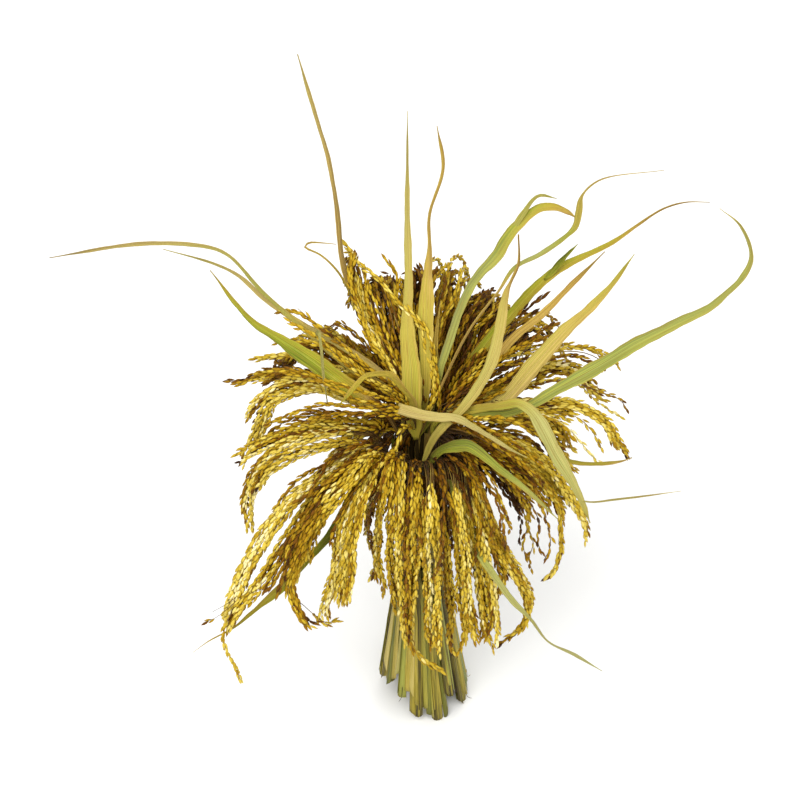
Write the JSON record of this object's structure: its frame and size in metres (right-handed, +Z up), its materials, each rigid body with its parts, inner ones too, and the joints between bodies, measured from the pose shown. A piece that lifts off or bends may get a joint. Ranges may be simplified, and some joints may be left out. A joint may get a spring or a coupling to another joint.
{
  "type": "rice plant clump",
  "caption": "Bound bunch of ripe cut rice plants that stands on its splayed stalk ends, with arching heads of grain all round and long narrow leaves rising above them.",
  "frame": {"origin": "middle of the centre stalk's cut foot, on the surface that the bunch stands on", "axes": "+Z up along the bunch, +X to the right and -Y towards the viewer as the picture shows it"},
  "size_m": [0.5474, 0.2575, 0.5773],
  "materials": {
    "stalk": "dry straw, satin",
    "ear": "dry ripe grain, matt",
    "leaf_green": "ripening leaf, satin",
    "leaf_dry": "dry leaf, matt",
    "tie": "twisted straw, matt"
  },
  "bodies": {
    "root": {"stalk_01": "stalk", "stalk_02": "stalk", "stalk_03": "stalk", "stalk_04": "stalk", "stalk_05": "stalk", "stalk_06": "stalk", "stalk_07": "stalk", "stalk_08": "stalk", "stalk_09": "stalk", "stalk_10": "stalk", "stalk_11": "stalk", "stalk_12": "stalk", "stalk_13": "stalk", "stalk_14": "stalk", "stalk_15": "stalk", "stalk_16": "stalk", "stalk_17": "stalk", "stalk_18": "stalk", "stalk_19": "stalk", "stalk_20": "stalk", "stalk_21": "stalk", "stalk_22": "stalk", "ear_01": "ear", "ear_02": "ear", "ear_03": "ear", "ear_04": "ear", "ear_05": "ear", "ear_06": "ear", "ear_07": "ear", "ear_08": "ear", "ear_09": "ear", "ear_10": "ear", "ear_11": "ear", "ear_12": "ear", "ear_13": "ear", "ear_14": "ear", "ear_15": "ear", "ear_16": "ear", "ear_17": "ear", "ear_18": "ear", "ear_19": "ear", "ear_20": "ear", "ear_21": "ear", "ear_22": "ear", "leaf_tall_back": "leaf_dry", "leaf_far_left": "leaf_dry", "leaf_left_upper": "leaf_green", "leaf_left_green": "leaf_green", "leaf_broad": "leaf_green", "leaf_kinked": "leaf_dry", "leaf_folded_over": "leaf_green", "leaf_zigzag": "leaf_dry", "leaf_crossing": "leaf_green", "leaf_right_long": "leaf_green", "leaf_right_tan": "leaf_dry", "leaf_looping": "leaf_green", "leaf_right_drooping": "leaf_green", "leaf_front_green": "leaf_green", "leaf_torn": "leaf_dry", "tie": "tie"}
  },
  "joints": []
}
